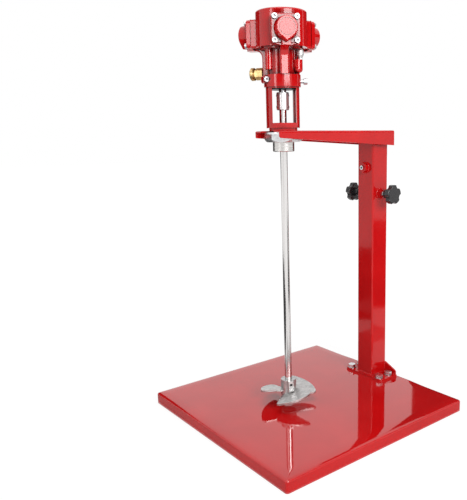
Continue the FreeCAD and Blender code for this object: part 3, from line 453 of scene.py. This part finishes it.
for side in ("left", "right"):
    node = side + "_knob_stud"
    low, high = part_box(node)
    start, end = (low.y, high.y) if side == "left" else (high.y, low.y)
    stud = threaded_stud(side + "_clamp_thread", (high.x - low.x) / 2, start, end,
                         middle(low.x, high.x), middle(low.z, high.z), side + "_clamp_knob")
    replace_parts(stud, node)
    dress(black_moulding, side + "_knob")


# Arm and sliding tube: a sheet channel that tapers to a fork, welded on the inner tube.
# It has the same enamel as the mast, with a slightly broader orange peel.

arm_enamel = enamel("arm_enamel", peel_scale=150.0, peel_strength=0.10)
dress(arm_enamel, "arm", "slide_tube", "seat_disc")


# Neck: a steel sleeve through the fork with a zinc-plated washer and a big flat nut. The
# sleeve is turned, so it shows fine rings; two bronze bushes guide the rod in it.

streak_detail = 4.0
streak_depth = 0.0001
edge_tint = (0.35, 0.35, 0.35, 1.0)


def turned(name, light, dark, gloss, grain, stretch, lift=0.08, metal=1.0):
    # Stretch is how much finer the streaks lie along X, Y and Z.
    material, link, shader, add = finish_material(name)
    place = place_of(add, link, stretch)
    streak = cloudy(add, link, place, grain, streak_detail)
    link(two_tone(add, link, streak, light, dark), shader.inputs["Base Color"])
    link(between(add, link, streak, *gloss), shader.inputs["Roughness"])
    shader.inputs["Metallic"].default_value = metal
    shader.inputs["Specular Tint"].default_value = edge_tint
    raised(add, link, streak, shader, lift, streak_depth)
    return material


turned_steel = turned("turned_steel", light=(0.74, 0.72, 0.70, 1.0), dark=(0.56, 0.54, 0.52, 1.0),
                      gloss=(0.16, 0.30), grain=40.0, stretch=(1.0, 1.0, 30.0))
neck_zinc = plated("neck_zinc", light=(0.86, 0.87, 0.87, 1.0), dark=(0.70, 0.71, 0.72, 1.0),
                   gloss=(0.25, 0.40))
bronze = turned("bush_bronze", light=(0.58, 0.36, 0.16, 1.0), dark=(0.42, 0.25, 0.11, 1.0),
                gloss=(0.25, 0.4), grain=40.0, stretch=(1.0, 1.0, 20.0))
dress(turned_steel, "neck_sleeve")
dress(neck_zinc, "neck_washer", "neck_nut")
dress(bronze, "neck_bushes")


# Yoke and clamp ring: a windowed tube and a split ring that clamps it on the motor, both
# enamelled with the motor. The ring's screws are zinc-plated, and a blackened steel plate
# closes the motor's lower end inside the ring.

# The motor enamel gets painted shade, darker red in its corners and creases.
motor_enamel = enamel("motor_enamel", peel_scale=230.0, peel_strength=0.16, gloss=(0.05, 0.12),
                      bend=1.47, coat=0.15, painted_shade_reach=0.014)
black_steel = plated("black_steel", light=(0.030, 0.030, 0.032, 1.0),
                     dark=(0.016, 0.016, 0.018, 1.0), gloss=(0.40, 0.55))
dress(motor_enamel, "yoke", "clamp_ring")
dress(zinc, "clamp_ring_screw", "ring_lock_screw")
dress(black_steel, "end_plate")


# Motor castings: a ribbed neck, a crankcase with three barrels, and three covers, cast and
# enamelled over their gaskets, with bright cap screws put in afterwards.

dress(motor_enamel, "valve_housing", "crankcase", "crankcase_cap", "front_cover", "right_cover",
      "left_cover", "cover_gaskets")
# The cap screws get painted shade, dark in their sockets and round their heads.
screw_plate = plated("screw_plate", light=(0.80, 0.80, 0.80, 1.0), dark=(0.64, 0.64, 0.65, 1.0),
                     gloss=(0.38, 0.52), socket_shade_reach=0.006)
dress(screw_plate, "cover_screws", "housing_screws")


# Silencer: a sintered plug on the exhaust port. Its grains show as a fine, pale, matt
# roughness all over.

sinter = plated("pale_sinter", light=(0.86, 0.86, 0.85, 1.0), dark=(0.66, 0.66, 0.65, 1.0),
                gloss=(0.45, 0.62), grain=900.0, lift=0.6)
dress(sinter, "silencer")


# Air valve: machined brass with a hexagon, a collar for the hose plug, and a black lever on
# its rear side. The brass is lightly tarnished in small patches.

brass = turned("turned_brass", light=(0.78, 0.57, 0.27, 1.0), dark=(0.52, 0.35, 0.14, 1.0),
               gloss=(0.32, 0.46), grain=90.0, stretch=(1.0, 1.0, 1.0))
dress(brass, "air_valve_body", "hose_socket")
dress(zinc, "valve_ball")
dress(black_moulding, "valve_lever")


# Rotor: a turned coupling with oiled set screws joins the motor's shaft to a ground
# stainless rod. The rod's grain runs along it, with faint long streaks.

rod_steel = turned("rod_steel", light=(0.84, 0.82, 0.81, 1.0), dark=(0.66, 0.64, 0.63, 1.0),
                   gloss=(0.10, 0.18), grain=220.0, stretch=(1.0, 1.0, 0.03))
coupling_steel = turned("coupling_steel", light=(0.92, 0.92, 0.92, 1.0),
                        dark=(0.80, 0.80, 0.80, 1.0), gloss=(0.26, 0.38), grain=120.0,
                        stretch=(1.0, 1.0, 12.0), metal=0.85)
dark_steel = plated("oiled_steel", light=(0.05, 0.05, 0.052, 1.0), dark=(0.025, 0.025, 0.027, 1.0),
                    gloss=(0.28, 0.42))
dress(rod_steel, "mixing_rod")
dress(coupling_steel, "coupling")
dress(dark_steel, "grub_screws")


# Propeller: three pitched blades on a hub, cast in one piece of aluminium and tumbled, so
# its faces are grey and grainy.

cast_aluminium = plated("cast_aluminium", light=(0.62, 0.61, 0.605, 1.0),
                        dark=(0.40, 0.395, 0.39, 1.0), gloss=(0.34, 0.52), grain=160.0, lift=0.55)
dress(cast_aluminium, "propeller")


# Inner pieces of the motor: pistons, liners, crank, bearings and valve, machined and oiled,
# closed in by the castings, and the seals in black rubber.

ground_steel = plated("ground_steel", light=(0.55, 0.55, 0.56, 1.0), dark=(0.40, 0.40, 0.41, 1.0),
                      gloss=(0.15, 0.28))
seal_rubber = moulded("seal_rubber", colour=(0.02, 0.02, 0.02, 1.0),
                      worn=(0.035, 0.035, 0.035, 1.0), gloss=(0.5, 0.7), grain=600.0, lift=0.2)
dress(ground_steel, "crankshaft", "crank_ring", "bearing_inner_races", "bearing_outer_races",
      "bearing_balls", "cylinder_liners", "valve_sleeve")
dress(seal_rubber, "shaft_seal")
for side in ("front", "right", "left"):
    dress(cast_aluminium, side + "_piston")
    dress(seal_rubber, side + "_piston_seal")


# Studio: a pale floor that runs out of sight, a white surround, and soft lamps. The floor
# is partly bright in itself, so it stays white and still takes the object's shadow.

floor_half = 12.0
floor_paint = (0.92, 0.92, 0.92, 1.0)
floor_roughness = 0.7
floor_glow = 0.85
floor_glow_level = 1.05
floor_near = 0.35
floor_far = 1.6
surround_light = 0.32
floor_lift = 0.001
flag_shade = 0.02
card_shade = 0.42


def seen_directly(add, link):
    # 1 for camera, glossy and transmission rays, 0 for light that reaches other surfaces.
    path = add("ShaderNodeLightPath")
    total = path.outputs["Is Camera Ray"]
    for ray in ("Is Glossy Ray", "Is Transmission Ray"):
        larger = add("ShaderNodeMath")
        larger.operation = "MAXIMUM"
        link(total, larger.inputs[0])
        link(path.outputs[ray], larger.inputs[1])
        total = larger.outputs[0]
    return total


def flat_panel(name, half, material):
    mesh = bmesh.new()
    bmesh.ops.create_grid(mesh, x_segments=1, y_segments=1, size=half)
    data = bpy.data.meshes.new(name)
    mesh.to_mesh(data)
    mesh.free()
    data.materials.append(material)
    return in_scene(bpy.data.objects.new(name, data))


def pale_floor():
    # The share of its own brightness grows with the distance from the object.
    material, link, shader, add = finish_material("pale_floor")
    shader.inputs["Base Color"].default_value = floor_paint
    shader.inputs["Roughness"].default_value = floor_roughness
    glow = add("ShaderNodeEmission", Strength=floor_glow_level)
    here = add("ShaderNodeTexCoord")
    away = add("ShaderNodeVectorMath")
    away.operation = "LENGTH"
    link(here.outputs["Object"], away.inputs[0])
    spread = between(add, link, away.outputs["Value"], floor_glow, 1.0, floor_near, floor_far)
    share = add("ShaderNodeMath")
    share.operation = "MULTIPLY"
    link(seen_directly(add, link), share.inputs[0])
    link(spread, share.inputs[1])
    mix = add("ShaderNodeMixShader")
    link(share.outputs[0], mix.inputs["Fac"])
    link(shader.outputs["BSDF"], mix.inputs[1])
    link(glow.outputs["Emission"], mix.inputs[2])
    surface = material.node_tree.nodes["Material Output"].inputs["Surface"]
    link(mix.outputs["Shader"], surface)
    flat_panel("studio_floor", floor_half, material)


def white_surround():
    world = bpy.data.worlds.new("surround")
    bpy.context.scene.world = world
    world.use_nodes = True
    tree = world.node_tree
    add, link = tree.nodes.new, tree.links.new
    strength = add("ShaderNodeMapRange")
    strength.inputs["To Min"].default_value = surround_light
    strength.inputs["To Max"].default_value = 1.0
    link(seen_directly(add, link), strength.inputs["Value"])
    background = tree.nodes["Background"]
    background.inputs["Color"].default_value = (1.0, 1.0, 1.0, 1.0)
    link(strength.outputs["Result"], background.inputs["Strength"])


def around(heading, away, level):
    # A place on a circle about the plate's middle, by its heading in degrees.
    angle = math.radians(heading)
    return Vector((away * math.cos(angle), away * math.sin(angle), level))


def facing(place, aim):
    return (Vector(aim) - Vector(place)).to_track_quat("-Z", "Y")


def soft_lamp(name, place, aim, width, height, power):
    data = bpy.data.lights.new(name, "AREA")
    data.shape = "RECTANGLE"
    data.size, data.size_y = width, height
    data.energy = power
    lamp = in_scene(bpy.data.objects.new(name, data))
    lamp.location = place
    lamp.rotation_mode = "QUATERNION"
    lamp.rotation_quaternion = facing(place, aim)


def flag(name, place, rotation, across, along, shade):
    # A dark panel beside the set, which only shows as a dark shape in glossy surfaces.
    material, link, shader, add = finish_material(name)
    shader.inputs["Base Color"].default_value = (shade, shade, shade, 1.0)
    shader.inputs["Roughness"].default_value = 1.0
    panel = flat_panel(name, 0.5, material)
    panel.scale = (across, along, 1.0)
    panel.location = place
    panel.rotation_mode = "QUATERNION"
    panel.rotation_quaternion = rotation
    for use in ("camera", "diffuse", "shadow", "transmission", "volume_scatter"):
        setattr(panel, "visible_" + use, False)


def standing_flag(name, heading, away, level, width, height):
    place = around(heading, away, level)
    flag(name, place, facing(place, (0.0, 0.0, level)), width, height, flag_shade)


def lying_flag(name, x, y, across, along, turn=0, shade=flag_shade):
    # A panel on the floor, turned by its own heading in degrees.
    rotation = Quaternion((0, 0, 1), math.radians(turn))
    flag(name, (x, y, floor_lift), rotation, across, along, shade)


half_height = (0.0, 0.0, 0.5)
pale_floor()
white_surround()
soft_lamp("key_lamp", around(261, 2.0, 1.12), half_height, width=1.3, height=0.75, power=29.0)
soft_lamp("side_lamp", around(188, 2.2, 1.1), half_height, width=0.45, height=0.9, power=6.0)
soft_lamp("top_lamp", (0.0, 0.0, 2.6), (0.0, 0.0, 0.0), width=1.8, height=1.8, power=24.0)
standing_flag("dark_behind_left", 102, away=1.6, level=0.75, width=1.2, height=0.9)
standing_flag("dark_behind_right", 10.8, away=1.7, level=0.65, width=1.45, height=1.4)
lying_flag("floor_card_left", -0.62, 0.62, across=1.1, along=1.5, turn=135)
lying_flag("floor_card_right", 1.1, -1.2, across=1.9, along=1.0, turn=310)
lying_flag("edge_card_left", -0.261, 0.05, across=0.118, along=0.8, shade=card_shade)
lying_flag("edge_card_right", 0.05, -0.261, across=0.8, along=0.118, shade=card_shade)
standing_flag("dark_front", 216, away=1.5, level=1.02, width=0.85, height=0.65)
standing_flag("dark_right", 316, away=1.6, level=1.02, width=1.45, height=0.65)


# Camera: stands level with the arm, in front and to the left, and looks a little down. Its
# middle lies right of the picture's, so the lens is shifted.

camera_place = (-0.6600, -0.8062, 0.4876)
camera_heading = math.radians(50.14)
camera_dip = math.radians(10.48)
camera_roll = math.radians(-0.77)
picture_width, picture_height = 467, 500
focal_pixels = 599.9
middle_pixel = 309.0
sensor_side = 36.0
nearest_seen, farthest_seen = 0.05, 60.0

lens = bpy.data.cameras.new("camera")
lens.sensor_width = sensor_side
lens.lens = focal_pixels / picture_height * sensor_side
lens.shift_x = (picture_width / 2 - middle_pixel) / picture_height
lens.clip_start, lens.clip_end = nearest_seen, farthest_seen
camera = in_scene(bpy.data.objects.new("camera", lens))
ahead = Vector((math.cos(camera_heading) * math.cos(camera_dip),
                math.sin(camera_heading) * math.cos(camera_dip), -math.sin(camera_dip)))
camera.location = camera_place
camera.rotation_mode = "QUATERNION"
camera.rotation_quaternion = ahead.to_track_quat("-Z", "Y") @ Quaternion((0, 0, 1), camera_roll)
bpy.context.scene.camera = camera
bpy.context.scene.view_settings.view_transform = "Standard"
